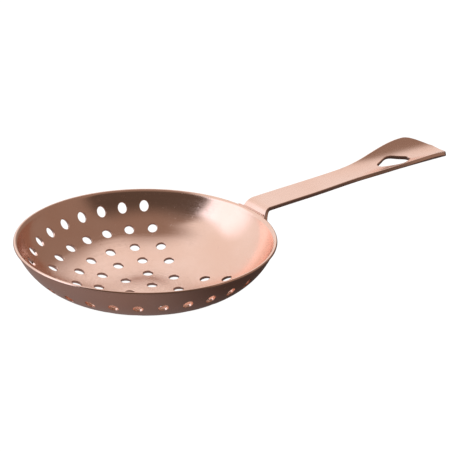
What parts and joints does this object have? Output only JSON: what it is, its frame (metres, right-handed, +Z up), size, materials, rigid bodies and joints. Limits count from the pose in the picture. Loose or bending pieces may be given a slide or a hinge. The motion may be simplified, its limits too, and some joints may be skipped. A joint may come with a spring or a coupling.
{
  "type": "julep strainer",
  "caption": "Copper-plated julep strainer: a shallow perforated bowl with a flared lip, welded to a bent strip handle that ends in a dished leaf with a hanging eye.",
  "frame": {"origin": "centre of the bowl's flat underside, on the bowl's own axis", "axes": "+Z up out of the open bowl, +X along the handle towards its tip, +Y to the left when looking along the handle"},
  "size_m": [0.1642, 0.0838, 0.027],
  "materials": {
    "bowl_plating": "copper plated stainless steel, polished",
    "handle_plating": "copper plated stainless steel, satin polish",
    "weld": "weld metal under the same copper plating"
  },
  "bodies": {
    "root": {"bowl": "bowl_plating", "handle": "handle_plating", "weld_bead_left": "weld", "weld_bead_right": "weld"}
  },
  "joints": []
}
